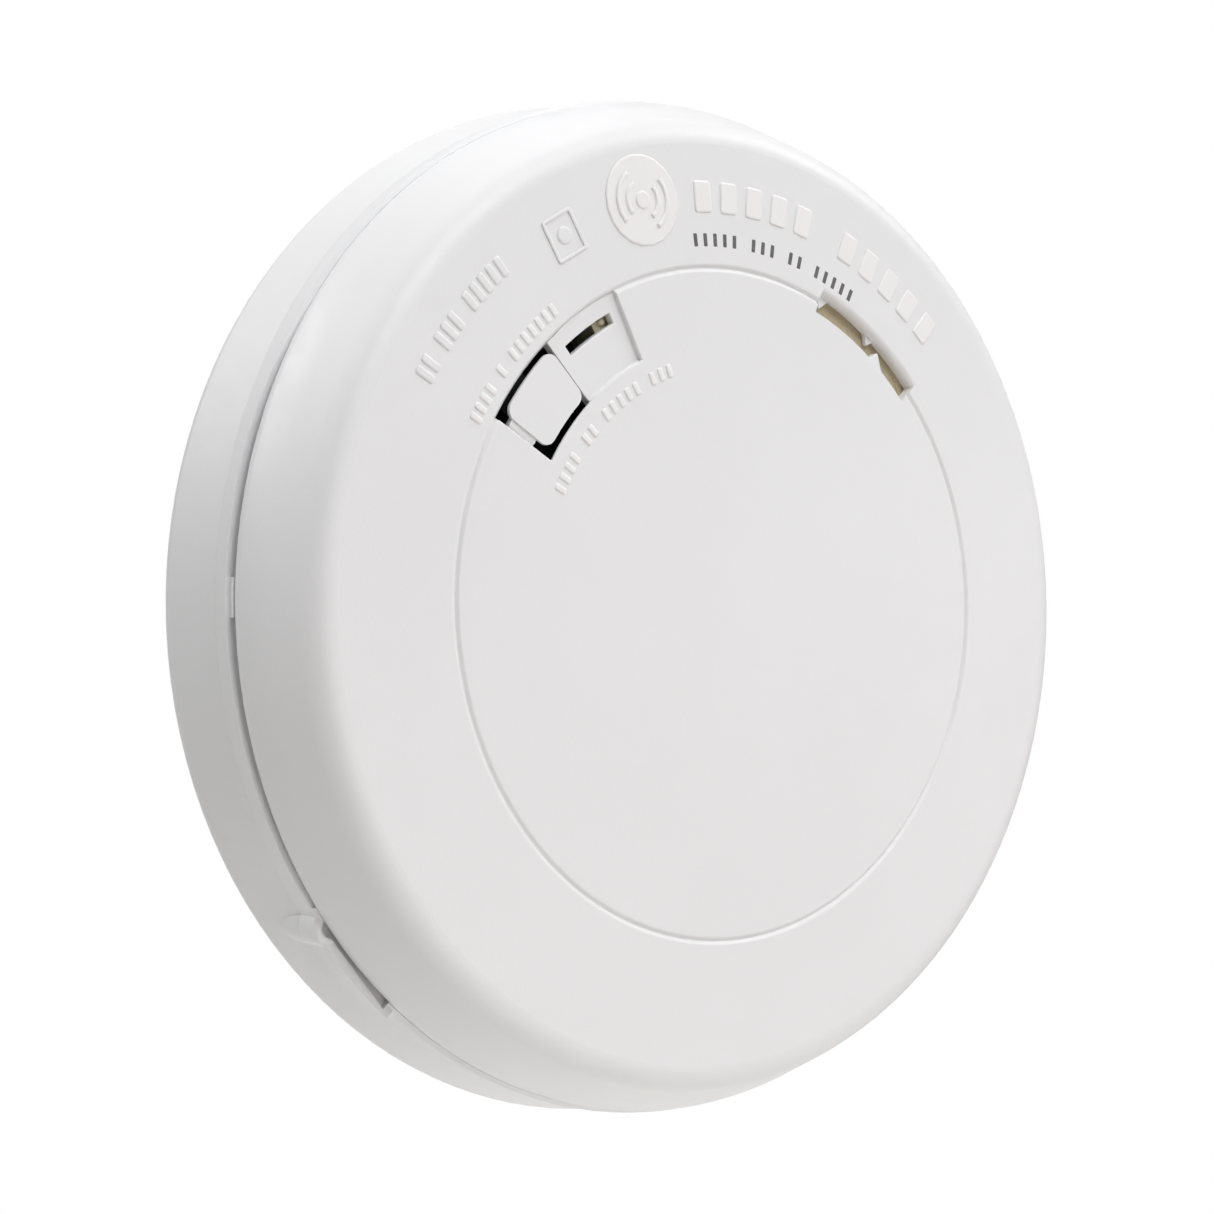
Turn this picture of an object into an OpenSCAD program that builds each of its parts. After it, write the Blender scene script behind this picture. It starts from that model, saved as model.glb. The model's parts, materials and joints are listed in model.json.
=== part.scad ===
// Slim round smoke and carbon monoxide alarm on its twist-lock wall bracket.
// Origin: centre of the bracket's wall face. The wall is the plane Y = 0, the front faces -Y, Z is up.
// Every module is drawn lying down, with the wall at z = 0 and the front at the top, and upright() stands it up.

/* [Overall] */
// Distance from the wall to the front face
depth = 28.9; // [28.9:0.1:32]
// Wall thickness of the moulded shells
wall = 2; // [1.8:0.1:2.1]

/* [Mounting bracket] */
// Widest radius of the bracket's outer ring
ring_r = 73.3; // [73.2:0.1:74]
// Radius of the rounding on the ring's back edge
ring_round = 4; // [3:0.5:5]
// Height of the ring's front lip above the wall
lip_h = 13.3; // [13.1:0.1:13.4]
// Outer radius of the ring's front lip
lip_r = 71.6; // [71.5:0.1:72]
// Radius of the open centre of the bracket
centre_hole_r = 22; // [18:1:26]
// Distance between the two slotted screw holes
slot_spacing = 86; // [82:1:90]
// Length of each screw slot between the centres of its round ends
slot_travel = 8; // [4:1:10]
// Distance between the two round screw holes
hole_spacing = 80; // [74:1:84]
// Radius of the wall screw holes and half the width of the slots
wall_screw_r = 2.2; // [2:0.1:2.6]

/* [Front cover] */
// Outer radius of the cover's rim
cover_r = 71; // [70.8:0.1:71.2]
// Height of the straight band at the cover's rim
rim_band = 1.7; // [1.4:0.1:2]
// Radius of the rounding between the flank and the face
edge_round = 4.3; // [4:0.1:5]
// Radius at which the flat face ends
face_r = 63.4; // [62:0.1:64]
// Radius of the groove circle on the face
groove_r = 46.4; // [46.2:0.1:46.6]
// Width of the groove circle
groove_w = 0.9; // [0.6:0.1:1.2]
// Depth of the recess around the button
recess_depth = 0.7; // [0.6:0.1:1]

/* [Test button] */
// How far the button turns when it is pressed, in degrees
button_press = 4; // [2:0.5:4]
// Rounding of the button's corners
button_corner = 1.5; // [0.5:0.25:2]

/* [Inside] */
// Thickness of the circuit board
board_t = 1.6; // [1:0.1:1.6]
// Radius of each battery cell
cell_r = 8.5; // [8:0.1:8.5]
// Radius of the brass sounder disc
horn_r = 20.5; // [20:0.1:21]
// Radius of the smoke chamber
chamber_r = 23; // [20:0.5:23]

/* [Hidden] */
$fn = 96;

eps = 0.02;                         // how far a cut runs past a face
plate_t = wall;                     // bracket plate
face_z = depth;                     // front face
ceiling_z = depth - wall;           // underside of the cover's face
floor_z = 7.2;                      // back face of the rear housing
floor_top = floor_z + wall;
seam_gap = 0.02;                    // between the outer shells
band_z = lip_h + seam_gap;          // back of the housing's outer band
rim_z = 17.3;                       // back edge of the cover's rim
band_top = rim_z - seam_gap;        // front of the housing's band
inlet_z = 16;                       // floor of the air inlets
pocket_z = 16.4;                    // floor of the pocket beside the lobe
band_r = lip_r;                     // outer radius of the band
skirt_r = 69;                       // outer radius of the housing's skirt
skirt_in_r = 66.8;                  // inner radius of the skirt
spigot_r = cover_r - wall - 0.4;    // locates the cover
split_z = 16;                       // where the cover's bosses meet the housing's

boss_angles = [0, 90, 180, 270];    // screw bosses
boss_at = 61.8;
boss_r = 3.3;
screw_r = 1.3;
screw_head_r = 2.7;

hook_angles = [35, 155, 275];       // twist-lock hooks and feet
hook_span = 14;
hook_in_r = 60;
hook_top = 6.6;
foot_z = 3.2;

lock_angle = 215.7;                 // lobe for a locking pin
lock_r = 70.6;
lobe_r = 2.6;
pin_r = 1.4;
lobe_z = band_z + 0.1;
lobe_top = band_top - 0.2;
chord_foot = 218.5;                 // straight pocket beside the lobe
chord_at = 71.35;
pocket_end = 226.5;

board_top = 21;                     // front face of the circuit board
board_back = board_top - board_t;
board_r = 57.5;
board_edge_y = -23;                 // straight edge beside the batteries
board_posts = [[-47.2, 22], [48.9, 17.8], [7, -17], [-8.7, 49.2]];
post_r = 2.8;

cell_y = -33;                       // battery cells lie along X
cell_z = floor_top + 0.3 + cell_r;
cell_len = 33.5;
nub_len = 1;
nub_r = 3.3;
tab_t = 0.7;

recess_from = 117.3;                // recess on the face, between these angles
recess_to = 150.3;
recess_in_r = 36.4;
recess_z = face_z - recess_depth;
opening_from = 133.75;
opening_in_r = recess_in_r - 1.2;    // undercut below the face's thin inner edge
opening_out_r = groove_r - 0.1;
opening_top = face_z - 0.5;
cap_from = 134.45;
cap_to = 148.6;
cap_in_r = 37.4;
cap_out_r = 45.5;
cap_z = face_z - 1.5;
cap_top = face_z - 0.1;
cap_plate = 0.5;                    // thin edge of the cap, over its narrower body
cap_inset = 0.8;
tongue_in_r = 39.6;
tongue_out_r = 44.1;
hinge_angle = 149.5;
hinge_z = face_z - 0.9;
hinge_r = 0.5;                      // round root of the tongue
stem_at = 41.9;
stem_angle = 142;
stem_r = 1.2;
plunger_r = 1.7;
plunger_top = face_z - 3.6;
switch_top = 24.4;

window_from = 119.6;                // slot over the status light
window_to = 131.1;
window_in_r = 42.5;
window_out_r = 44;
sound_from = 43;                    // slot over the sounder
sound_to = 70;
sound_in_r = 44.8;
sound_out_r = 47.9;
sound_lip = 0.9;                    // rounding of the slot's outer edge

lead_r = 0.6;                       // battery leads
lead_z = board_top + 2.6;
tab_end = cell_len + nub_len + tab_t;

horn_x = 16.3;                      // sounder, on the front of the board
horn_y = 25.2;
horn_z = 24.6;
disc_t = 0.3;
chamber_x = -28;                    // smoke chamber, behind the board
chamber_y = 2;
chamber_z = floor_top + 0.3;
co_x = 28;                          // gas sensor, behind the board
co_y = -4;
co_r = 10;
slider_x = 10;                      // shut-off slider at rest
slider_y = 42;
slider_travel = 4;

function arc(centre, r, from, to, steps) =
    [for (i = [0:steps]) centre + r * [cos(from + (to - from) * i / steps),
        sin(from + (to - from) * i / steps)]];

function polar(r, angle) = [r * cos(angle), r * sin(angle)];

// Stands a lying shape up against the wall
module upright() rotate([90, 0, 0]) children();

// Moves a shape to a radius and an angle, and turns it to face outwards
module at(r, angle, z = 0) rotate([0, 0, angle]) translate([r, 0, z]) children();

// Turns a list of [radius, height] points around the axis
module turned(points) rotate_extrude() polygon(points);

// Part of a ring with a rectangular section
module ring_sector(r_in, r_out, from, to, z_from, z_to) {
    rotate([0, 0, from])
        rotate_extrude(angle = to - from)
            translate([r_in, z_from])
                square([r_out - r_in, z_to - z_from]);
}

module tube(r_in, r_out, z_from, z_to) {
    difference() {
        translate([0, 0, z_from]) cylinder(r = r_out, h = z_to - z_from);
        translate([0, 0, z_from - eps]) cylinder(r = r_in, h = z_to - z_from + 2 * eps);
    }
}

// A box centred on [x, y] between two heights
module block(x, y, size_x, size_y, z_from, z_to)
    translate([x - size_x / 2, y - size_y / 2, z_from]) cube([size_x, size_y, z_to - z_from]);

// A round bar between two heights
module bar(x, y, r, z_from, z_to) translate([x, y, z_from]) cylinder(r = r, h = z_to - z_from, $fn = 48);

// A slot through the plate with round ends, along X
module screw_slot(x) {
    block(x, 0, slot_travel, 2 * wall_screw_r, -eps, plate_t + eps);
    for (end = [-1, 1])
        bar(x + end * slot_travel / 2, 0, wall_screw_r, -eps, plate_t + eps);
}

// An air inlet in the housing's left side, cut in along X, with a ramp at each end and a post in its middle
module air_inlet() {
    ramp_top = 39.7;
    ramp_foot = 12.3;
    lower_foot = -4;
    lower_end = -38.6;
    end_gap = 0.3;
    steps = 8;
    drop = band_top - inlet_z;
    ramp = [for (i = [0:steps])
        [ramp_top + (ramp_foot - ramp_top) * i / steps, inlet_z + drop * (1 + cos(180 * i / steps)) / 2]];
    lower_ramp = [[lower_foot, inlet_z], [lower_end, band_top - end_gap]];
    difference() {
        rotate([90, 0, 90])
            translate([0, 0, -80])
                linear_extrude(42)
                    polygon(concat(ramp, lower_ramp, [[lower_end, face_z], [ramp_top, face_z]]));
        ring_sector(skirt_in_r + 0.5, band_r - 0.6, 178, 182, inlet_z - 1, band_top - 0.35);
    }
}

module mounting_bracket() color("#e9eaea") upright() {
    inner_round = ring_round - wall;
    ring_c = [ring_r - ring_round, ring_round];
    section = concat([[centre_hole_r, 0]], arc(ring_c, ring_round, -90, 0, 8),
        [[lip_r, lip_h], [lip_r - wall, lip_h]], arc(ring_c, inner_round, 0, -90, 6),
        [[centre_hole_r + wall, plate_t], [centre_hole_r + wall, plate_t + 2], [centre_hole_r, plate_t + 2]]);
    difference() {
        union() {
            turned(section);
            for (angle = hook_angles) {
                ring_sector(hook_in_r, hook_in_r + 2, angle - 2.2, angle + hook_span, plate_t - eps, hook_top);
                ring_sector(hook_in_r, hook_in_r + 4.2, angle - 2.2, angle + hook_span, hook_top - 1.4, hook_top);
                ring_sector(hook_in_r, hook_in_r + 6.4, angle - 2.2, angle - 0.4, plate_t - eps, hook_top);
            }
            difference() {
                at(lock_r, lock_angle) turned([[0, 5.5], [1, 5.8], [1.9, 7], [2.4, 8.8], [lobe_r, 11],
                    [lobe_r, lip_h], [0, lip_h]]);
                cylinder(r = skirt_r + 0.3, h = lip_h + 1);
            }
        }
        for (side = [-1, 1]) {
            screw_slot(side * slot_spacing / 2);
            bar(0, side * hole_spacing / 2, wall_screw_r, -eps, plate_t + eps);
        }
        at(lock_r, lock_angle, lip_h - 6) cylinder(r = pin_r, h = 7, $fn = 48);
    }
}

module rear_housing() color("#eceded") upright() {
    section = [[0, floor_z], [skirt_r, floor_z], [skirt_r, band_z], [band_r, band_z],
        [band_r, band_top - 0.5], [cover_r + 0.1, band_top], [spigot_r, band_top], [spigot_r, band_top + 2.2],
        [skirt_in_r, band_top + 2.2], [skirt_in_r, floor_top], [0, floor_top]];
    difference() {
        union() {
            difference() {
                turned(section);
                air_inlet();
                mirror([1, 0, 0]) air_inlet();
            }
            ring_sector(skirt_r - 1, 72.6, lock_angle, pocket_end + 1, lobe_z, lobe_top);
            at(lock_r, lock_angle) turned(concat([[0, lobe_z - 0.05], [lobe_r, lobe_z - 0.05]],
                arc([lobe_r - 0.9, lobe_top - 0.8], 0.9, 0, 90, 5), [[0, lobe_top + 0.1]]));
            for (angle = hook_angles) {
                ring_sector(64.6, 66.4, angle + 0.2, angle + hook_span - 0.2, foot_z, floor_z + eps);
                ring_sector(62.5, 64.7, angle + 0.2, angle + hook_span - 0.2, foot_z, foot_z + 1.6);
            }
            for (angle = boss_angles)
                at(boss_at, angle, floor_top - eps) cylinder(r = boss_r, h = split_z - floor_top + eps, $fn = 48);
            for (p = board_posts) bar(p[0], p[1], post_r, floor_top - eps, board_back);
            for (side = [-1, 1]) block(side * 17, cell_y, 3, 15, floor_top - eps, floor_top + 4);
        }
        at(lock_r - 0.8, lock_angle, band_z - 1) cylinder(r = pin_r / 2, h = 6, $fn = 48);
        at(lock_r, lock_angle, lobe_top - 0.5) cylinder(r = pin_r, h = 6, $fn = 48);
        // Straight pocket that runs from the pin hole to a sharp end
        intersection() {
            rotate([0, 0, chord_foot]) translate([chord_at - 3, -10, pocket_z]) cube([3, 20, 4]);
            ring_sector(60, 75, lock_angle, pocket_end, pocket_z, band_top + 3);
        }
        for (angle = boss_angles) {
            at(boss_at, angle, floor_z - eps) cylinder(r = screw_head_r + 0.3, h = 3, $fn = 48);
            at(boss_at, angle, floor_z) cylinder(r = screw_r + 0.3, h = 12, $fn = 48);
        }
        for (p = board_posts) bar(p[0], p[1], screw_r + 0.05, board_back - 7, board_back + eps);
        // The cells' round bed in the two saddles
        translate([-40, cell_y, cell_z]) rotate([0, 90, 0]) cylinder(r = cell_r + 0.03, h = 80);
        block(slider_x + slider_travel / 2, slider_y, slider_travel + 3.2, 3.2, floor_z - eps, floor_top + eps);
    }
}

module front_cover() color("#f2f2f3") upright() {
    edge_c = [face_r, face_z - edge_round];
    // Angle of the flank's tangent on the edge rounding
    foot = [cover_r, rim_z + rim_band] - edge_c;
    tangent = atan2(foot[1], foot[0]) + acos(edge_round / norm(foot));
    groove = [[groove_r + groove_w / 2, face_z], [groove_r, face_z - groove_w / 2],
        [groove_r - groove_w / 2, face_z]];
    outside = concat([[cover_r, rim_z], [cover_r, rim_z + rim_band]],
        arc(edge_c, edge_round, tangent, 90, 8), groove, [[0, face_z]]);
    inside = concat([[0, ceiling_z]], arc(edge_c, edge_round - wall, 90, tangent, 6),
        [[cover_r - wall, rim_z + rim_band], [cover_r - wall, rim_z]]);
    difference() {
        union() {
            turned(concat(outside, inside));
            for (angle = boss_angles)
                at(boss_at, angle, split_z) cylinder(r = boss_r, h = ceiling_z - split_z + eps, $fn = 48);
        }
        ring_sector(recess_in_r, groove_r, recess_from, recess_to, recess_z, face_z + 1);
        ring_sector(opening_in_r, opening_out_r, opening_from, recess_to, ceiling_z - 1, opening_top);
        ring_sector(window_in_r, window_out_r, window_from, window_to, ceiling_z - 1, recess_z + 1);
        difference() {
            sound_slot();
            sound_ribs();
        }
        for (angle = boss_angles)
            at(boss_at, angle, split_z - eps) cylinder(r = screw_r + 0.05, h = 8, $fn = 48);
    }
}

// The sound slot, with a rounded outer edge
module sound_slot() {
    section = concat([[sound_in_r, ceiling_z - 2], [sound_out_r, ceiling_z - 2]],
        arc([sound_out_r + sound_lip, face_z - sound_lip], sound_lip, 180, 90, 5),
        [[sound_out_r + sound_lip, face_z + 1], [sound_in_r, face_z + 1]]);
    rotate([0, 0, sound_from])
        rotate_extrude(angle = sound_to - sound_from)
            polygon(section);
}

// Small three-cornered ribs at the foot of the sound slot
module sound_ribs() {
    outer = [polar(sound_out_r + 0.5, 57.6), polar(sound_in_r + 1.8, 55.4), polar(sound_out_r + 0.5, 54)];
    inner = [polar(sound_in_r - 0.5, 54.6), polar(sound_out_r - 1.1, 53), polar(sound_in_r - 0.5, 49)];
    first = [polar(sound_out_r + 0.5, 70.5), polar(sound_in_r + 1.2, 68.4), polar(sound_out_r + 0.5, 66.4)];
    for (rib = [[outer, 0.8], [inner, 1.5], [first, 0.8]])
        translate([0, 0, ceiling_z]) linear_extrude(rib[1]) polygon(rib[0]);
}

// Outline of the button's cap, drawn in by an inset: a ring sector with rounded corners
function cap_outline(inset) =
    let (c = button_corner,
        r_in = cap_in_r + inset,
        r_out = cap_out_r - inset,
        from = cap_from + inset * 1.4,
        to = cap_to - inset * 1.4,
        // Angles that keep each corner circle inside the straight sides
        in_turn = asin(c / (r_in + c)),
        out_turn = asin(c / (r_out - c)))
    concat(
        arc(polar(r_in + c, from + in_turn), c, from + in_turn + 180, from + 270, 5),
        arc(polar(r_out - c, from + out_turn), c, from - 90, from + out_turn, 5),
        arc([0, 0], r_out, from + out_turn + 1, to - out_turn - 1, 4),
        arc(polar(r_out - c, to - out_turn), c, to - out_turn, to + 90, 5),
        arc(polar(r_in + c, to - in_turn), c, to + 90, to - in_turn + 180, 5),
        arc([0, 0], r_in, to - in_turn - 1, from + in_turn + 1, 4));

module test_button() color("#f6f6f6") upright() {
    plate_z = cap_top - cap_plate;
    translate([0, 0, plate_z]) linear_extrude(cap_plate) polygon(cap_outline(0));
    translate([0, 0, cap_z]) linear_extrude(plate_z - cap_z + eps) polygon(cap_outline(cap_inset));
    ring_sector(tongue_in_r, tongue_out_r, cap_to - 3, hinge_angle, hinge_z - hinge_r, hinge_z + hinge_r);
    at(tongue_in_r + 0.02, hinge_angle, hinge_z) rotate([0, 90, 0])
        cylinder(r = hinge_r - 0.01, h = tongue_out_r - tongue_in_r - 0.1, $fn = 48);
    at(stem_at, stem_angle, plunger_top + 0.12) cylinder(r = stem_r, h = cap_z - plunger_top, $fn = 48);
}

module switch_body() color("#222222") upright() {
    at(stem_at, stem_angle) difference() {
        union() {
            block(0, 0, 6, 6, board_top, switch_top);
            for (side = [-1, 1]) block(side * 3.4, 0, 1, 4, board_top, board_top + 0.3);
        }
        bar(0, 0, plunger_r + 0.05, switch_top - 1.2, switch_top + 1);
    }
}

module switch_plunger() color("#3a3a3a") upright()
    at(stem_at, stem_angle, switch_top - 0.55) cylinder(r = plunger_r, h = plunger_top - switch_top + 0.55, $fn = 48);

module circuit_board() color("#14201a") upright() {
    difference() {
        translate([0, 0, board_back]) cylinder(r = board_r, h = board_t);
        block(0, board_edge_y - 40, 200, 80, board_back - 1, board_top + 1);
        for (p = board_posts) bar(p[0], p[1], screw_r + 0.3, board_back - 1, board_top + 1);
        for (angle = [90, 210, 330])
            translate([co_x, co_y, 0]) at(6, angle) bar(0, 0, 0.6, board_back - 1, board_top + 1);
    }
}

module board_screws() color("#c4c6c9") upright()
    for (p = board_posts) {
        bar(p[0], p[1], screw_r, board_back - 6, board_top + eps);
        difference() {
            bar(p[0], p[1], screw_head_r, board_top, board_top + 1.8);
            block(p[0], p[1], 3, 0.6, board_top + 1, board_top + 3);
            block(p[0], p[1], 0.6, 3, board_top + 1, board_top + 3);
        }
    }

module housing_screws() color("#c4c6c9") upright()
    for (angle = boss_angles) at(boss_at, angle) {
        head_z = floor_z + 1;
        bar(0, 0, screw_r, head_z + 1, split_z + 7);
        difference() {
            bar(0, 0, screw_head_r, head_z, floor_z + 3 - eps);
            block(0, 0, 3, 0.6, head_z - 1, head_z + 0.9);
            block(0, 0, 0.6, 3, head_z - 1, head_z + 0.9);
        }
    }

module in_chamber() translate([chamber_x, chamber_y, 0]) children();

module chamber_base() color("#101010") upright() in_chamber() {
    vane_count = 16;
    vane_z = chamber_z + 1.5;
    translate([0, 0, board_back - 1.5]) cylinder(r = chamber_r - 0.5, h = 1.5);
    for (i = [0:vane_count - 1]) rotate([0, 0, i * 360 / vane_count]) {
        block(chamber_r - 3, 0, 3.2, 1, vane_z, board_back - 1);
        block(chamber_r - 4.1, 1, 1, 3, vane_z, board_back - 1);
    }
}

module chamber_lid() color("#101010") upright() in_chamber()
    translate([0, 0, chamber_z]) cylinder(r = chamber_r - 0.5, h = 1.5);

module insect_screen() color("#8f9396") upright() in_chamber() {
    bar_count = 36;
    t = 0.3;
    tube(chamber_r - 0.45, chamber_r - 0.45 + t, chamber_z, chamber_z + 1.2);
    tube(chamber_r - 0.45, chamber_r - 0.45 + t, board_back - 1.2, board_back);
    for (i = [0:bar_count - 1]) rotate([0, 0, i * 360 / bar_count])
        block(chamber_r - 0.45 + t / 2, 0, t, 0.5, chamber_z + 1, board_back - 1);
}

// A round-nosed optical part lying in the chamber and pointing at its centre
module optical_part(angle) in_chamber() rotate([0, 0, angle]) {
    z = (chamber_z + board_back) / 2;
    translate([5, 0, z]) rotate([0, 90, 0]) cylinder(r = 1.5, h = 5, $fn = 48);
    translate([5, 0, z]) sphere(r = 1.5, $fn = 48);
    translate([9.5, 0, z]) rotate([0, 90, 0]) cylinder(r = 1.9, h = 1, $fn = 48);
    for (side = [-1, 1]) block(11, side * 1.1, 0.6, 0.6, z - 0.3, board_back - 1.5);
    for (side = [-1, 1]) block(10.8, side * 1.1, 1, 0.6, z - 0.3, z + 0.3);
}

module ir_emitter() color("#8fa0b4") upright() optical_part(60);

module photodiode() color("#23262c") upright() optical_part(-75);

module co_sensor_can() color("#b9bcc0") upright()
    bar(co_x, co_y, co_r - 0.5, floor_top + 2, board_back);

module co_sensor_cap() color("#e4e4df") upright() difference() {
    bar(co_x, co_y, co_r, floor_top + 0.4, floor_top + 4);
    bar(co_x, co_y, co_r - 0.47, floor_top + 2, floor_top + 5);
    bar(co_x, co_y, 1.2, floor_top, floor_top + 3);
}

module co_sensor_pins() color("#d7c27a") upright()
    for (angle = [90, 210, 330])
        translate([co_x, co_y, 0]) at(6, angle) bar(0, 0, 0.55, board_back, board_top + 1);

module horn_housing() color("#ededeb") upright() translate([horn_x, horn_y, 0])
    tube(horn_r - 3, horn_r + 1, board_top, horn_z);

module piezo_disc() color("#b99a5b") upright() bar(horn_x, horn_y, horn_r, horn_z, horn_z + disc_t);

module piezo_element() color("#d9d3c4") upright()
    bar(horn_x, horn_y, horn_r - 8, horn_z - 0.25, horn_z);

module horn_contacts() color("#caa64a") upright()
    for (offset = [-11, 0, 15.5]) bar(horn_x + offset, horn_y, 0.6, board_top, horn_z - (offset > 12 ? 0 : 0.25));

// Foam ring between the sounder disc and the cover, with a thin sheet that keeps dust out of the sound slot
module horn_gasket() color("#b3a17c") upright() translate([horn_x, horn_y, 0]) {
    tube(horn_r - 1.7, horn_r, horn_z + disc_t, ceiling_z);
    bar(0, 0, horn_r - 1.6, ceiling_z - 0.6, ceiling_z - 0.1);
}

// A battery cell along X with its positive end towards +X
module cell(x) translate([x, cell_y, cell_z]) rotate([0, 90, 0]) {
    cylinder(r = cell_r, h = cell_len);
    cylinder(r = nub_r, h = cell_len + nub_len, $fn = 48);
}

module battery_cell_1() color("#2b4f7a") upright() cell(-cell_len - nub_len - tab_t);

module battery_cell_2() color("#2b4f7a") upright() cell(0);

module battery_tabs() color("#cfd1d3") upright()
    for (x = [-cell_len - nub_len - 2 * tab_t, -tab_t, cell_len + nub_len])
        translate([x, cell_y - 2.5, cell_z - 5]) cube([tab_t, 5, 10]);

// A wire along straight stretches with round corners
module wire(points, r) {
    for (i = [0:len(points) - 2]) {
        run = points[i + 1] - points[i];
        length = norm(run);
        translate(points[i])
            rotate([0, acos(run[2] / length), atan2(run[1], run[0])])
                cylinder(r = r, h = length, $fn = 24);
    }
    for (i = [1:len(points) - 2]) translate(points[i]) sphere(r = r, $fn = 24);
}

module battery_lead_red() color("#b3201e") upright()
    wire([[tab_end, cell_y, cell_z], [tab_end + 2.2, cell_y, cell_z], [tab_end + 2.2, -22, lead_z],
        [-5, -19.5, lead_z]], lead_r);

module battery_lead_black() color("#1b1b1b") upright()
    wire([[-tab_end - tab_t, cell_y, cell_z], [-tab_end - 2.5, cell_y, cell_z],
        [-tab_end - 2.5, -22.2, lead_z], [-11, -19, lead_z]], lead_r);

module battery_connector() color("#f0ead6") upright() block(-8, -19, 6, 5, board_top, board_top + 3.6);

// Status light on a tall base that ends just under its slot in the cover
module status_led() color("#b7ab8c") upright() at(42.5, 120.3) {
    lens_z = ceiling_z - 0.3;
    block(0, 0, 3.4, 3.6, board_top, lens_z);
    translate([0.75, 0.3, lens_z]) sphere(r = 0.6, $fn = 48);
}

module microcontroller() color("#1d1d1f") upright() {
    block(-16, -4, 9, 9, board_top + 0.2, board_top + 1.6);
    for (side = [-1, 1]) for (i = [-3:3]) {
        block(-16 + i * 1.2, -4 + side * 5, 0.5, 1.2, board_top, board_top + 0.8);
        block(-16 + side * 5, -4 + i * 1.2, 1.2, 0.5, board_top, board_top + 0.8);
    }
}

module capacitors() color("#31353b") upright()
    for (p = [[47, -6], [44, -16], [40, 30]]) bar(p[0], p[1], 3.6, board_back - 8, board_back);

module horn_transformer() color("#6b5233") upright() {
    bar(24, 22, 5, board_back - 1, board_back);
    bar(24, 22, 3.6, board_back - 7, board_back - 1);
    bar(24, 22, 5, board_back - 8, board_back - 7);
}

module chip_components() color("#4b4338") upright()
    for (row = [0:2]) for (i = [0:4])
        block(38 + row * 4, -18 + i * 4.4, 1.6, 3, board_top, board_top + 0.8);

module shutoff_slider() color("#d63a2e") upright() {
    block(slider_x, slider_y, 2.6, 2.6, floor_z + 0.3, floor_top + 0.4);
    block(slider_x, slider_y, 12, 5.6, floor_top + 0.15, floor_top + 1.2);
    block(slider_x, slider_y, 2, 2, floor_top + 1.1, board_back - 4.2);
}

module shutoff_switch() color("#2d2f33") upright()
    block(slider_x + slider_travel / 2, slider_y, 10, 4.4, board_back - 4, board_back);

module rear_label() color("#d5d7d8") upright() bar(0, 0, 36, floor_z - 0.2, floor_z);

mounting_bracket();
rear_housing();
front_cover();
test_button();
switch_body();
switch_plunger();
circuit_board();
board_screws();
housing_screws();
chamber_base();
chamber_lid();
insect_screen();
ir_emitter();
photodiode();
co_sensor_can();
co_sensor_cap();
co_sensor_pins();
horn_housing();
piezo_disc();
piezo_element();
horn_contacts();
horn_gasket();
battery_cell_1();
battery_cell_2();
battery_tabs();
battery_lead_red();
battery_lead_black();
battery_connector();
status_led();
microcontroller();
capacitors();
horn_transformer();
chip_components();
shutoff_slider();
shutoff_switch();
rear_label();
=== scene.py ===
import json
import math

import bmesh
import bpy
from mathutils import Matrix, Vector


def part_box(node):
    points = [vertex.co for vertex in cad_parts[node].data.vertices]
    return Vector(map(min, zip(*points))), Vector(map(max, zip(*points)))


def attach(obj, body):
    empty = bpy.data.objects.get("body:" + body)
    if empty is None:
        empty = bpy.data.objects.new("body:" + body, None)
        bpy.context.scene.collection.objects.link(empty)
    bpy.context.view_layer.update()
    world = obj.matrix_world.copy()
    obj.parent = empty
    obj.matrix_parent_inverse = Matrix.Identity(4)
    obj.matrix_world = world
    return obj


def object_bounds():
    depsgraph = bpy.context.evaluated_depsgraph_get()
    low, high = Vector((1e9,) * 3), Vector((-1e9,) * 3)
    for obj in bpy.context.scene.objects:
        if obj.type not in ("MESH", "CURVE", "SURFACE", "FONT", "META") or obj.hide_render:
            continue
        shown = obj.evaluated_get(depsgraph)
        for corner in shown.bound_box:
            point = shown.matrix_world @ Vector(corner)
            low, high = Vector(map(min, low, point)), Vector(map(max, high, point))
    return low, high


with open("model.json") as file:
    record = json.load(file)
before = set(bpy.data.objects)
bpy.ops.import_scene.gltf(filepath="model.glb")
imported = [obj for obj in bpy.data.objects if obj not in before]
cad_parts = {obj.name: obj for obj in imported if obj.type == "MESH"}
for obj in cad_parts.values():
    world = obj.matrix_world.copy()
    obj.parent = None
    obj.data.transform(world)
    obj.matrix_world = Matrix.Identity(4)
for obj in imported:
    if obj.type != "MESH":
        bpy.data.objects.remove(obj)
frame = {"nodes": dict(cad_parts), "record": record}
cad_low, cad_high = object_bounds()

MM = 0.001
scene = bpy.context.scene
scene.view_settings.view_transform = "Standard"

# ---- Places, worked out from the frame ----
FACE_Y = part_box("front_cover")[0].y   # the front face looks along -Y
RIM_Y = FACE_Y + 11.6 * MM            # back edge of the cover's rim
FLOOR_Z = cad_low.z - 180 * MM        # the alarm hangs on a wall, above the floor
FLOOR_R = 450 * MM                    # ends before the camera's view reaches it

# ---- Camera: the photograph's side of the object ----
AZIMUTH = math.radians(-37.67)
ELEVATION = math.radians(-1.22)
DISTANCE = 292.96 * MM
AIM_RIGHT = -10.84 * MM               # how far the view's centre is from the alarm's axis
AIM_UP = -0.27 * MM
LENS = 60.79                          # focal length in mm, for a sensor of SENSOR mm
SENSOR = 36


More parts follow.
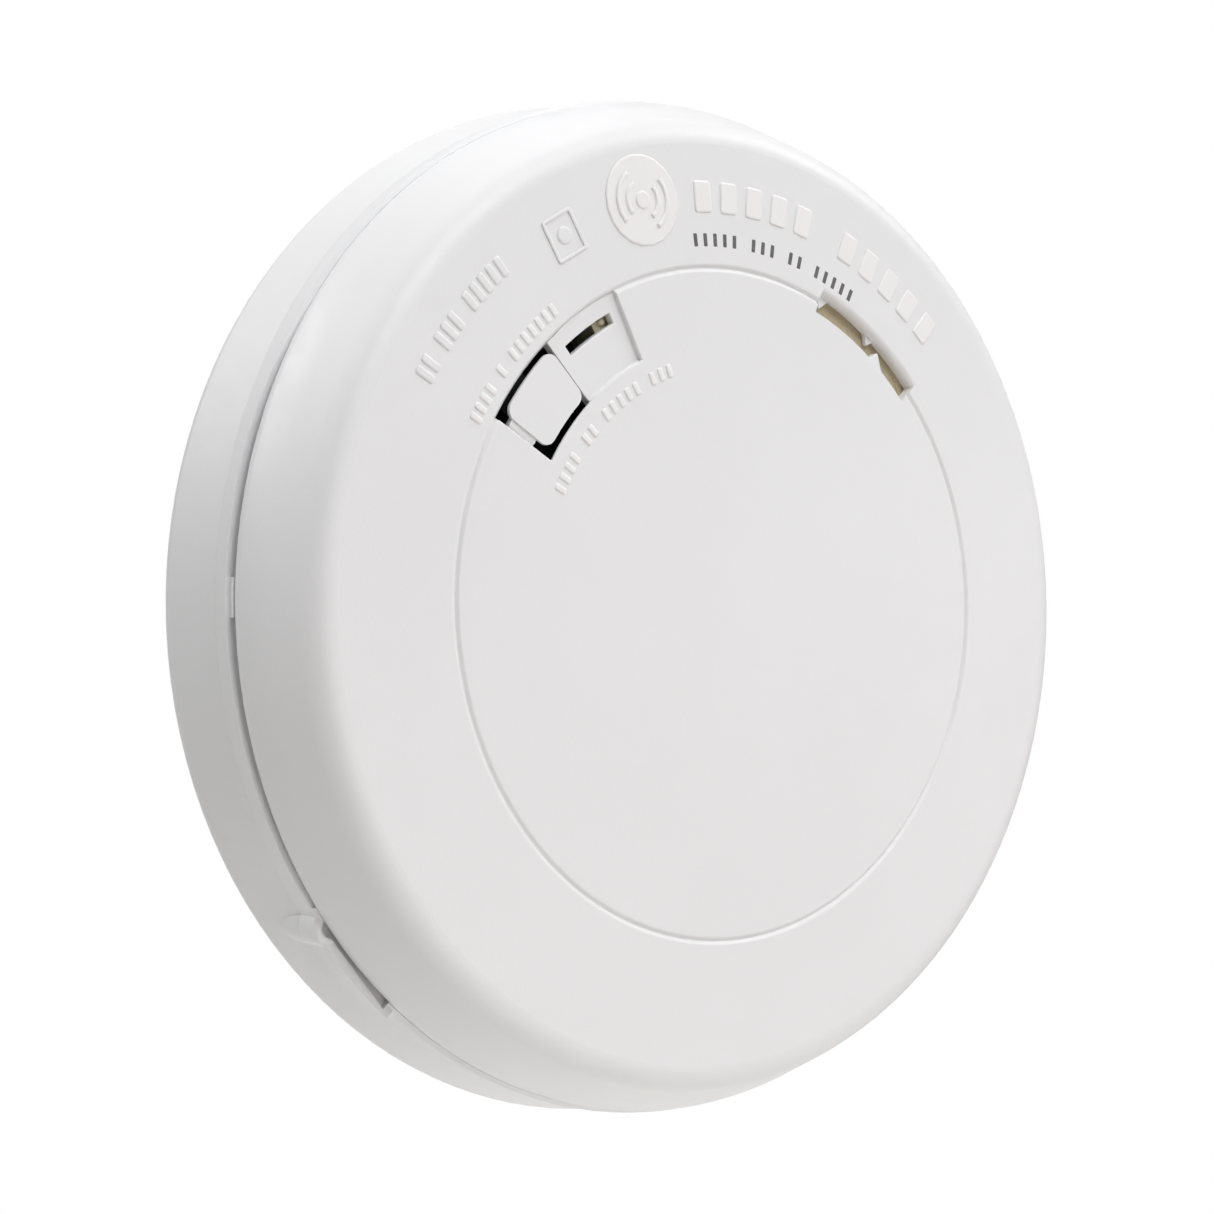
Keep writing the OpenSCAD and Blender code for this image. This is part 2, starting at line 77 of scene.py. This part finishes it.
def make_camera():
    back = Vector((math.sin(AZIMUTH) * math.cos(ELEVATION),
                   -math.cos(AZIMUTH) * math.cos(ELEVATION), math.sin(ELEVATION)))
    right = (-back).cross(Vector((0, 0, 1))).normalized()
    up = right.cross(-back)
    data = bpy.data.cameras.new("camera")
    data.lens = LENS
    data.sensor_width = SENSOR
    data.clip_start = 0.01
    data.clip_end = 10
    camera = bpy.data.objects.new("camera", data)
    scene.collection.objects.link(camera)
    camera.location = Vector((0, RIM_Y, 0)) + back * DISTANCE + right * AIM_RIGHT + up * AIM_UP
    camera.rotation_mode = "QUATERNION"
    camera.rotation_quaternion = (-back).to_track_quat("-Z", "Y")
    scene.camera = camera


# ---- Studio: large soft lights, a white background and a pale floor ----
# Each light: its place, its size in metres, its power in watts and its colour; all aim at the alarm
LIGHTS = {
    "top": ((0, -0.1, 1.1), 0.9, 2.3, (0.99, 0.99, 1)),
    "top_front": ((0, -0.9, 0.8), 0.7, 8.1, (0.97, 0.975, 1)),
    "top_back": ((0, 0.8, 1.0), 0.8, 0.8, (1, 1, 1)),
    "left_top": ((-0.8, -0.4, 0.8), 0.6, 2.4, (1, 1, 1)),
    "left_top_back": ((-0.9, 0.6, 0.8), 0.8, 7.2, (1, 1, 1)),
    "right_top": ((0.8, -0.5, 0.8), 0.6, 4.4, (1, 1, 1)),
    "right_front": ((1.0, -0.8, 0.0), 0.4, 1.4, (1, 1, 1)),
    "front": ((0, -1.3, 0), 0.8, 0.05, (1, 1, 1)),
    "low": ((0, -0.6, -0.12), 0.2, 0.3, (1, 0.86, 0.74)),
}
# Glows from a whole side of the studio: the direction each comes from and its colour
GLOWS = {
    "back_up": ((0, 1, 1), (0.44, 0.435, 0.425)),
    "right_down": ((1, 0, -1), (0.345, 0.342, 0.335)),
}


def area_light(name, place, size, watts, colour):
    data = bpy.data.lights.new(name, "AREA")
    data.shape = "DISK"
    data.size = size
    data.energy = watts
    data.color = colour
    lamp = bpy.data.objects.new(name, data)
    scene.collection.objects.link(lamp)
    lamp.location = place
    lamp.visible_camera = False
    lamp.rotation_mode = "QUATERNION"
    lamp.rotation_quaternion = (-Vector(place)).to_track_quat("-Z", "Y")


def make_studio():
    world = bpy.data.worlds.new("studio")
    scene.world = world
    world.use_nodes = True
    tree = world.node_tree

    def node(kind, **settings):
        made = tree.nodes.new(kind)
        for setting, value in settings.items():
            setattr(made, setting, value)
        return made

    direction = node("ShaderNodeTexCoord").outputs["Generated"]
    total = node("ShaderNodeRGB").outputs[0]
    total.default_value = (0, 0, 0, 1)
    for axis, colour in GLOWS.values():
        facing = node("ShaderNodeVectorMath", operation="DOT_PRODUCT")
        facing.inputs[1].default_value = Vector(axis).normalized()
        above = node("ShaderNodeMath", operation="MAXIMUM")
        above.inputs[1].default_value = 0
        glow = node("ShaderNodeVectorMath", operation="SCALE")
        glow.inputs[0].default_value = colour
        added = node("ShaderNodeVectorMath", operation="ADD")
        tree.links.new(direction, facing.inputs[0])
        tree.links.new(facing.outputs["Value"], above.inputs[0])
        tree.links.new(above.outputs[0], glow.inputs["Scale"])
        tree.links.new(glow.outputs[0], added.inputs[0])
        tree.links.new(total, added.inputs[1])
        total = added.outputs[0]

    ambient = tree.nodes["Background"]
    tree.links.new(total, ambient.inputs["Color"])
    backdrop = node("ShaderNodeBackground")
    backdrop.inputs["Color"].default_value = (1, 1, 1, 1)
    mix = node("ShaderNodeMixShader")
    tree.links.new(node("ShaderNodeLightPath").outputs["Is Camera Ray"], mix.inputs[0])
    tree.links.new(ambient.outputs[0], mix.inputs[1])
    tree.links.new(backdrop.outputs[0], mix.inputs[2])
    tree.links.new(mix.outputs[0], tree.nodes["World Output"].inputs[0])
    for name, (place, size, watts, colour) in LIGHTS.items():
        area_light(name, place, size, watts, colour)


# ---- Materials ----
class Look:
    """A Principled material, with helpers for procedural detail in the frame's own coordinates."""

    def __init__(self, name, colour, roughness, metallic=0.0, coat=0.0):
        self.material = bpy.data.materials.new(name)
        self.material.use_nodes = True
        self.tree = self.material.node_tree
        self.shader = self.tree.nodes["Principled BSDF"]
        self.place = self.tree.nodes.new("ShaderNodeTexCoord").outputs["Object"]
        self.bump = None
        self.shader.inputs["Base Color"].default_value = (*colour, 1)
        self.shader.inputs["Roughness"].default_value = roughness
        self.shader.inputs["Metallic"].default_value = metallic
        self.shader.inputs["Coat Weight"].default_value = coat

    def noise(self, scale, detail=2.0, stretch=(1, 1, 1)):
        mapping = self.tree.nodes.new("ShaderNodeMapping")
        mapping.inputs["Scale"].default_value = stretch
        texture = self.tree.nodes.new("ShaderNodeTexNoise")
        texture.inputs["Scale"].default_value = scale
        texture.inputs["Detail"].default_value = detail
        self.tree.links.new(self.place, mapping.inputs["Vector"])
        self.tree.links.new(mapping.outputs[0], texture.inputs["Vector"])
        return texture.outputs["Fac"]

    def waves(self, scale, kind="RINGS", axis="Y", distortion=0.0):
        texture = self.tree.nodes.new("ShaderNodeTexWave")
        texture.wave_type = kind
        if kind == "RINGS":
            texture.rings_direction = axis
        else:
            texture.bands_direction = axis
        texture.inputs["Scale"].default_value = scale
        texture.inputs["Distortion"].default_value = distortion
        self.tree.links.new(self.place, texture.inputs["Vector"])
        return texture.outputs["Fac"]

    def cells(self, scale):
        texture = self.tree.nodes.new("ShaderNodeTexVoronoi")
        texture.inputs["Scale"].default_value = scale
        self.tree.links.new(self.place, texture.inputs["Vector"])
        return texture.outputs["Distance"]

    def tint(self, source, low, high, start=0.3, end=0.7):
        """The base colour runs from low to high as the source goes from start to end."""
        ramp = self.tree.nodes.new("ShaderNodeValToRGB")
        ramp.color_ramp.elements[0].position = start
        ramp.color_ramp.elements[1].position = end
        ramp.color_ramp.elements[0].color = (*low, 1)
        ramp.color_ramp.elements[1].color = (*high, 1)
        self.tree.links.new(source, ramp.inputs["Fac"])
        self.tree.links.new(ramp.outputs["Color"], self.shader.inputs["Base Color"])
        return self

    def gloss(self, source, low, high):
        """The roughness runs from low to high with the source."""
        spread = self.tree.nodes.new("ShaderNodeMapRange")
        spread.inputs["From Min"].default_value = 0.3
        spread.inputs["From Max"].default_value = 0.7
        spread.inputs["To Min"].default_value = low
        spread.inputs["To Max"].default_value = high
        self.tree.links.new(source, spread.inputs["Value"])
        self.tree.links.new(spread.outputs[0], self.shader.inputs["Roughness"])
        return self

    def relief(self, source, depth, strength=1.0):
        """Adds a bump of the given depth in metres over any earlier one."""
        bump = self.tree.nodes.new("ShaderNodeBump")
        bump.inputs["Distance"].default_value = depth
        bump.inputs["Strength"].default_value = strength
        self.tree.links.new(source, bump.inputs["Height"])
        if self.bump:
            self.tree.links.new(self.bump, bump.inputs["Normal"])
        self.bump = bump.outputs["Normal"]
        self.tree.links.new(self.bump, self.shader.inputs["Normal"])
        return self


def scaled(colour, factor):
    return tuple(min(1.0, part * factor) for part in colour)


def moulded(name, colour, roughness=0.45, grain=0.012, mottle=0.02):
    """Moulded plastic: spark-eroded grain, a faint mottle from the flow of the melt, uneven gloss."""
    look = Look(name, colour, roughness)
    look.tint(look.noise(26, 3), scaled(colour, 1 - mottle), scaled(colour, 1 + mottle / 2))
    look.gloss(look.noise(420, 3), roughness - 0.06, roughness + 0.08)
    look.relief(look.noise(2600, 3), grain * MM)
    look.relief(look.noise(60, 2), 0.05 * MM, 0.5)
    return look.material


def brushed(name, colour, roughness=0.35, stretch=(1, 1, 14)):
    """Rolled or drawn metal with fine lines along one direction."""
    look = Look(name, colour, roughness, metallic=1.0)
    lines = look.noise(900, 4, stretch)
    look.tint(lines, scaled(colour, 0.86), scaled(colour, 1.08))
    look.gloss(look.noise(300, 3), roughness - 0.08, roughness + 0.1)
    look.relief(lines, 0.01 * MM)
    return look.material


def brass_sheet():
    """Thin brass with a dull, slightly tarnished skin and fine rolling lines."""
    colour = (0.44, 0.36, 0.235)
    look = Look("brass", colour, 0.5, metallic=0.25)
    lines = look.noise(700, 4, (1, 1, 9))
    look.tint(lines, scaled(colour, 0.88), scaled(colour, 1.1))
    look.gloss(look.noise(160, 3), 0.42, 0.6)
    look.relief(lines, 0.012 * MM)
    return look.material


def solder_mask():
    """Black board: glossy mask, with tracks and glass weave that show faintly."""
    look = Look("board", (0.006, 0.008, 0.007), 0.3, coat=0.3)
    tracks = look.waves(150, "BANDS", "DIAGONAL", 6.0)
    look.tint(tracks, (0.004, 0.006, 0.005), (0.012, 0.018, 0.014), 0.55, 0.62)
    look.gloss(look.cells(1400), 0.24, 0.42)
    look.relief(look.cells(1400), 0.01 * MM)
    return look.material


def foam():
    """Closed-cell foam: small bumped cells, with painted shade darkening their hollows."""
    colour = (0.50, 0.425, 0.285)
    look = Look("foam", colour, 0.9)
    # painted shade: the tint darkens the same cell hollows that the bump below sinks
    look.tint(look.cells(1600), scaled(colour, 0.92), scaled(colour, 1.04), 0.05, 0.5)
    look.relief(look.cells(1600), 0.08 * MM)
    return look.material


def sleeve(name, colour):
    """Shrink sleeve round a cell: glossy film with shallow wrinkles."""
    look = Look(name, colour, 0.25, coat=0.4)
    look.tint(look.noise(90, 3), scaled(colour, 0.85), scaled(colour, 1.12))
    look.gloss(look.noise(240, 3), 0.2, 0.36)
    look.relief(look.noise(110, 3, (1, 4, 4)), 0.08 * MM)
    return look.material


def clear_part(name, colour, through):
    """Small optical part in tinted clear plastic."""
    look = Look(name, colour, 0.12, coat=0.2)
    look.shader.inputs["Transmission Weight"].default_value = through
    look.tint(look.noise(500, 2), scaled(colour, 0.92), scaled(colour, 1.05))
    look.gloss(look.noise(700, 2), 0.1, 0.24)
    look.relief(look.noise(900, 2), 0.004 * MM)
    return look.material


def winding():
    """Enamelled wire, wound turn on turn, with painted shade in the grooves between turns."""
    look = Look("copper_winding", (0.42, 0.17, 0.07), 0.3, metallic=0.8, coat=0.5)
    turns = look.waves(900, "BANDS", "Y")
    # painted shade: the tint darkens the grooves between turns, following the bump's bands
    look.tint(turns, (0.20, 0.08, 0.03), (0.50, 0.22, 0.09), 0.1, 0.6)
    look.gloss(look.noise(600, 2), 0.24, 0.4)
    look.relief(turns, 0.08 * MM)
    return look.material


def foil_label():
    """Silver foil, rolled fine in one direction, with a satin print coat."""
    look = Look("label_foil", (0.62, 0.63, 0.64), 0.38, metallic=0.85, coat=0.25)
    lines = look.noise(1500, 3, (16, 1, 1))
    look.tint(lines, (0.56, 0.57, 0.58), (0.66, 0.67, 0.68))
    look.gloss(look.noise(200, 3), 0.32, 0.46)
    look.relief(lines, 0.006 * MM)
    return look.material


def floor_look():
    """A plain pale floor with a faint mottle."""
    look = Look("floor", (0.94, 0.925, 0.905), 0.7)
    look.tint(look.noise(14, 3), (0.92, 0.905, 0.885), (0.94, 0.925, 0.905))
    look.gloss(look.noise(60, 2), 0.62, 0.78)
    look.relief(look.noise(400, 2), 0.05 * MM)
    return look.material


WHITE = (0.80, 0.80, 0.805)
PAINTED_HIGHLIGHT_WHITE = (0.86, 0.845, 0.845)     # a little lighter and warmer than the cover's white: painted highlight for raised marks of the same plastic


def make_looks():
    """One material for each of the record's slots."""
    return {
        "cover_plastic": moulded("cover_plastic", WHITE, 0.42),
        "housing_plastic": moulded("housing_plastic", scaled(WHITE, 0.99), 0.46),
        "bracket_plastic": moulded("bracket_plastic", scaled(WHITE, 0.985), 0.48),
        "button_plastic": moulded("button_plastic", scaled(WHITE, 1.01), 0.36, grain=0.006),
        "black_plastic": moulded("black_plastic", (0.012, 0.012, 0.013), 0.5, mottle=0.2),
        "board": solder_mask(),
        "zinc_steel": brushed("zinc_steel", (0.60, 0.61, 0.63), 0.32),
        "brass": brass_sheet(),
        "piezo_ceramic": moulded("piezo_ceramic", (0.66, 0.63, 0.56), 0.4, grain=0.02, mottle=0.08),
        "foam": foam(),
        "cream_plastic": moulded("cream_plastic", (0.72, 0.68, 0.55), 0.45),
        "sensor_metal": brushed("sensor_metal", (0.64, 0.64, 0.65), 0.28, (1, 12, 1)),
        "gold_plate": brushed("gold_plate", (0.75, 0.55, 0.22), 0.25),
        "nickel": brushed("nickel", (0.62, 0.60, 0.57), 0.3),
        "cell_sleeve": sleeve("cell_sleeve", (0.03, 0.09, 0.24)),
        "red_wire": sleeve("red_wire", (0.42, 0.02, 0.015)),
        "black_wire": sleeve("black_wire", (0.012, 0.012, 0.012)),
        "led_body": clear_part("led_body", (0.74, 0.68, 0.49), 0.1),
        "clear_blue": clear_part("clear_blue", (0.42, 0.52, 0.68), 0.7),
        "dark_filter": clear_part("dark_filter", (0.02, 0.02, 0.025), 0.2),
        "copper_winding": winding(),
        "slider_red": moulded("slider_red", (0.42, 0.03, 0.02), 0.42, mottle=0.06),
        "label_foil": foil_label(),
        "chip_ceramic": moulded("chip_ceramic", (0.09, 0.07, 0.05), 0.5, mottle=0.15),
        "screen_metal": brushed("screen_metal", (0.40, 0.41, 0.42), 0.4, (1, 1, 1)),
    }


def dress_nodes(looks):
    for part in frame["record"]["subparts"]:
        node = frame["nodes"][part["node"]]
        node.data.materials.clear()
        node.data.materials.append(looks[part["material_slot"]])


def soften(name, width, segments, least_angle, clamp=True):
    """Rounds the edges of a CAD node where two faces meet at more than the least angle in degrees."""
    node = frame["nodes"][name]
    weld = node.modifiers.new("weld", "WELD")
    weld.merge_threshold = 0.002 * MM
    edge = node.modifiers.new("edge", "BEVEL")
    edge.width = width
    edge.segments = segments
    edge.limit_method = "ANGLE"
    edge.angle_limit = math.radians(least_angle)
    edge.use_clamp_overlap = clamp
    edge.harden_normals = True


# ---- Raised and printed marks on the face ----
RAISED = 0.2 * MM
SIGN_RAISED = 0.4 * MM                # height of the sign's rings and dot, which stand on its round pad
SUNK = 0.05 * MM                      # how far a mark's foot lies inside the face
INK_RAISED = 0.02 * MM
EDGE = 0.3 * MM                       # width of a raised mark's crowned edge
ROUND_STEPS = 5                       # steps round each corner of a mark

# Rows of pads along an arc on the face: radius, first and last angle, pads in each group, width and
# height of a pad in mm, corner radius as a share of its width, and height over the face
ROWS = {
    "raised_row_outer": (58, 151.6, 133.2, (2, 3, 5), 1.2, 2.9, 0.3, RAISED),
    "raised_row_above_button": (49, 152.4, 130, (4, 1, 7), 0.95, 1.9, 0.3, RAISED),
    "raised_row_below_button": (33.5, 154.5, 111, (4, 2, 5, 3), 0.95, 1.9, 0.3, RAISED),
    "raised_row_wide": (56.1, 96.3, 48.2, (5, 5), 3.0, 4.4, 0.16, RAISED),
    "printed_row": (50.2, 98.4, 64.1, (5, 3, 2, 5), 0.66, 1.8, 0.2, INK_RAISED),
}
BOX_AT = (56, 122)                    # boxed dot: radius in mm and angle
SIGN_AT = (56.4, 107.3)               # ring sign: radius in mm and angle


def rounded_rectangle(half_w, half_h, radius):
    """Points of a rectangle with round corners, anticlockwise from the right."""
    points = []
    for corner, (side_x, side_y) in enumerate(((1, 1), (-1, 1), (-1, -1), (1, -1))):
        for step in range(ROUND_STEPS + 1):
            angle = math.radians(90 * (corner + step / ROUND_STEPS))
            points.append((side_x * (half_w - radius) + radius * math.cos(angle),
                           side_y * (half_h - radius) + radius * math.sin(angle)))
    return points


def on_face(x, y, height, centre, turn):
    """A point of a mark, turned and moved to its centre, at a height over the face."""
    cos, sin = math.cos(turn), math.sin(turn)
    return Vector((centre[0] + x * cos - y * sin, FACE_Y - height, centre[1] + x * sin + y * cos))


def add_loops(mesh, loops, ring=False):
    """Joins loops of points with faces: a closed ring, or a body with a lid at each end."""
    rows = [[mesh.verts.new(point) for point in loop] for loop in loops]
    count = len(rows[0])
    pairs = list(zip(rows, rows[1:]))
    if ring:
        pairs.append((rows[-1], rows[0]))
    for near, far in pairs:
        for i in range(count):
            j = (i + 1) % count
            mesh.faces.new((near[i], near[j], far[j], far[i]))
    if not ring:
        mesh.faces.new(rows[0])
        mesh.faces.new(rows[-1])


def add_pad(mesh, centre, turn, width, height, radius, raised):
    """A raised pad with round corners and a crowned edge."""
    crown = min(EDGE, radius, raised * 1.6)
    loops = []
    profile = ((0, -SUNK), (0, raised * 0.15), (crown * 0.25, raised * 0.6),
               (crown * 0.6, raised * 0.9), (crown, raised))
    for inset, level in profile:
        outline = rounded_rectangle(width / 2 - inset, height / 2 - inset, max(radius - inset, 0.02 * MM))
        loops.append([on_face(x, y, level, centre, turn) for x, y in outline])
    add_loops(mesh, loops)


def add_outline(mesh, centre, turn, width, height, radius, line, raised):
    """A raised line round a rectangle with round corners; a circle where radius is half the width."""
    soft = line * 0.2
    loops = []
    for inset, level in ((0, -SUNK), (0, raised * 0.7), (soft, raised), (line - soft, raised),
                         (line, raised * 0.7), (line, -SUNK)):
        outline = rounded_rectangle(width / 2 - inset, height / 2 - inset, radius - inset)
        loops.append([on_face(x, y, level, centre, turn) for x, y in outline])
    add_loops(mesh, loops, ring=True)


def add_arc(mesh, centre, radius, line, start, end, raised, steps=24):
    """A raised line along an arc round a centre on the face, between two angles in degrees."""
    section = ((-0.5, -SUNK), (-0.5, raised * 0.7), (-0.3, raised), (0.3, raised), (0.5, raised * 0.7),
               (0.5, -SUNK))
    loops = []
    for step in range(steps + 1):
        angle = math.radians(start + (end - start) * step / steps)
        loops.append([on_face((radius + across * line) * math.cos(angle),
                              (radius + across * line) * math.sin(angle), level, centre, 0)
                      for across, level in section])
    add_loops(mesh, loops)


def polar(radius, angle):
    return (radius * math.cos(math.radians(angle)), radius * math.sin(math.radians(angle)))


def make_row(name, material):
    """Groups of upright pads, read clockwise, with a pad's place left free between groups."""
    radius, angle, end, groups, width, height, corner, raised = ROWS[name]
    pitch = (end - angle) / (sum(groups) + len(groups) - 2)
    mesh = bmesh.new()
    for group in groups:
        for _ in range(group):
            add_pad(mesh, polar(radius * MM, angle), math.radians(angle - 90), width * MM, height * MM,
                    width * MM * corner, raised)
            angle += pitch
        angle += pitch
    finish_mark(name, mesh, material)


def make_boxed_dot(material):
    """A dot in a square frame."""
    centre = polar(BOX_AT[0] * MM, BOX_AT[1])
    turn = math.radians(BOX_AT[1] - 90)
    mesh = bmesh.new()
    add_outline(mesh, centre, turn, 5.4 * MM, 6.0 * MM, 0.5 * MM, 0.5 * MM, RAISED)
    add_pad(mesh, centre, turn, 2.4 * MM, 2.4 * MM, 1.19 * MM, RAISED)
    finish_mark("raised_boxed_dot", mesh, material)


def make_ring_sign(material):
    """A round pad with a dot and two pairs of arcs, a plain sign for sound."""
    centre = polar(SIGN_AT[0] * MM, SIGN_AT[1])
    line = 0.7 * MM
    mesh = bmesh.new()
    add_pad(mesh, centre, 0, 12.4 * MM, 12.4 * MM, 6.19 * MM, RAISED)
    add_pad(mesh, centre, 0, 2.6 * MM, 2.6 * MM, 1.29 * MM, SIGN_RAISED)
    for radius in (2.6 * MM, 4.2 * MM):
        for middle in (0, 180):
            add_arc(mesh, centre, radius, line, middle - 50, middle + 50, SIGN_RAISED)
    finish_mark("raised_ring_sign", mesh, material)


def finish_mark(name, mesh, material):
    bmesh.ops.recalc_face_normals(mesh, faces=mesh.faces)
    data = bpy.data.meshes.new(name)
    mesh.to_mesh(data)
    mesh.free()
    for face in data.polygons:
        face.use_smooth = len(face.vertices) == 4
    piece = bpy.data.objects.new(name, data)
    scene.collection.objects.link(piece)
    data.materials.append(material)
    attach(piece, "alarm")


def ink():
    """Dark grey pad-printed ink with uneven cover."""
    look = Look("printed_ink", (0.10, 0.10, 0.105), 0.55)
    look.tint(look.noise(1800, 3), (0.085, 0.085, 0.09), (0.15, 0.15, 0.155))
    look.gloss(look.noise(900, 2), 0.48, 0.66)
    look.relief(look.noise(2600, 2), 0.004 * MM)
    return look.material


def make_marks(looks):
    """Plain rows, a ring sign and a boxed dot stand where the moulded and printed words are."""
    white = looks["cover_plastic"]
    # these marks get a lighter copy of the cover's white: painted highlight on their raised tops
    pale = moulded("painted_highlight_plastic", PAINTED_HIGHLIGHT_WHITE, 0.4)
    make_row("raised_row_outer", white)
    make_row("raised_row_above_button", pale)
    make_row("raised_row_below_button", pale)
    make_row("raised_row_wide", pale)
    make_boxed_dot(white)
    make_ring_sign(pale)
    make_row("printed_row", ink())


def make_floor():
    mesh = bmesh.new()
    bmesh.ops.create_circle(mesh, cap_ends=True, segments=96, radius=FLOOR_R)
    data = bpy.data.meshes.new("floor")
    mesh.to_mesh(data)
    mesh.free()
    floor = bpy.data.objects.new("floor", data)
    scene.collection.objects.link(floor)
    floor.location.z = FLOOR_Z
    data.materials.append(floor_look())


make_camera()
make_studio()
make_floor()
looks = make_looks()
dress_nodes(looks)
soften("test_button", width=0.3 * MM, segments=4, least_angle=50)
soften("front_cover", width=0.2 * MM, segments=3, least_angle=40, clamp=False)
make_marks(looks)
